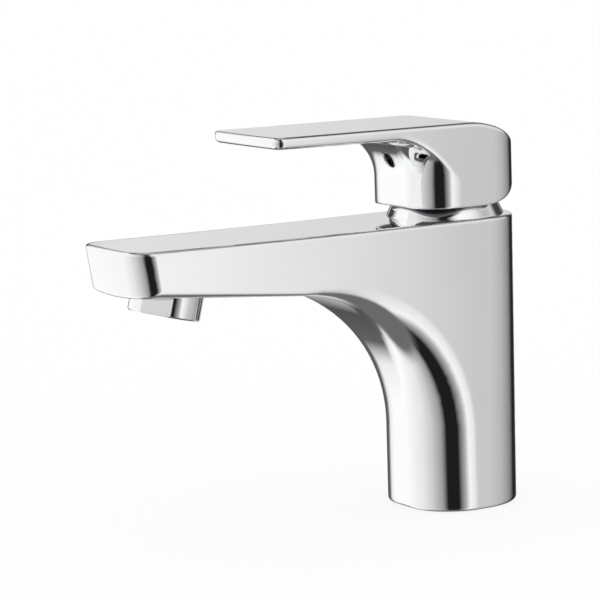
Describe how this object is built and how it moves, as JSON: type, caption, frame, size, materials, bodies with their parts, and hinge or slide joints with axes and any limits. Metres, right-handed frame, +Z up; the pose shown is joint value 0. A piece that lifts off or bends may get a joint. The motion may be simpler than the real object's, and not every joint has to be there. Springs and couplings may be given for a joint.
{
  "type": "bathroom mixer faucet",
  "caption": "Single-lever basin mixer with a curved chrome body, flat spout, flat lever, screwed aerator and ceramic cartridge.",
  "frame": {"origin": "on the column's axis, in the plane of the foot that stands on the deck", "axes": "+Z up, -Y towards the user along the spout and lever, +X to the user's right, the cold side"},
  "size_m": [0.0474, 0.1677, 0.1452],
  "materials": {
    "chrome": "mirror polished",
    "brass": "machined",
    "steel": "satin",
    "rubber": "matte",
    "white_plastic": "moulded",
    "dark_plastic": "moulded",
    "grey_plastic": "moulded",
    "ceramic": "lapped"
  },
  "bodies": {
    "mixer": {"faucet_body": "chrome", "aerator_housing": "chrome", "dome_ring": "chrome", "base_gasket": "rubber", "aerator_gasket": "rubber", "base_seal_hot": "rubber", "base_seal_cold": "rubber", "disc_seal_hot": "rubber", "disc_seal_cold": "rubber", "disc_seal_outlet": "rubber", "cartridge_o_ring": "rubber", "dome_o_ring": "rubber", "cartridge_base": "white_plastic", "cartridge_housing": "white_plastic", "aerator_insert": "grey_plastic", "fixed_disc": "ceramic", "retaining_nut": "brass", "aerator_screen": "steel"},
    "rotor": {"stem_rotor": "dark_plastic", "rotor_o_ring": "rubber", "stem_pin": "steel"},
    "carrier": {"disc_carrier": "dark_plastic", "moving_disc": "ceramic"},
    "lever": {"lever_handle": "chrome", "set_screw": "steel", "cartridge_stem": "brass"}
  },
  "joints": [
    {"name": "temperature_turn", "type": "hinge", "parent": "mixer", "child": "rotor", "pos_m": [0, 0, 0.1082], "axis": [0, 0, 1], "range_deg": [-45, 45]},
    {"name": "flow_lift", "type": "hinge", "parent": "rotor", "child": "lever", "pos_m": [0, 0, 0.1082], "axis": [-1, 0, 0], "range_deg": [0, 25]},
    {"name": "disc_slide", "type": "slide", "parent": "rotor", "child": "carrier", "axis": [0, -1, 0], "range_m": [0, 0.00584]}
  ],
  "couplings": [
    {"joint": "disc_slide", "follows": "flow_lift", "m_per_rad": 0.013393}
  ]
}
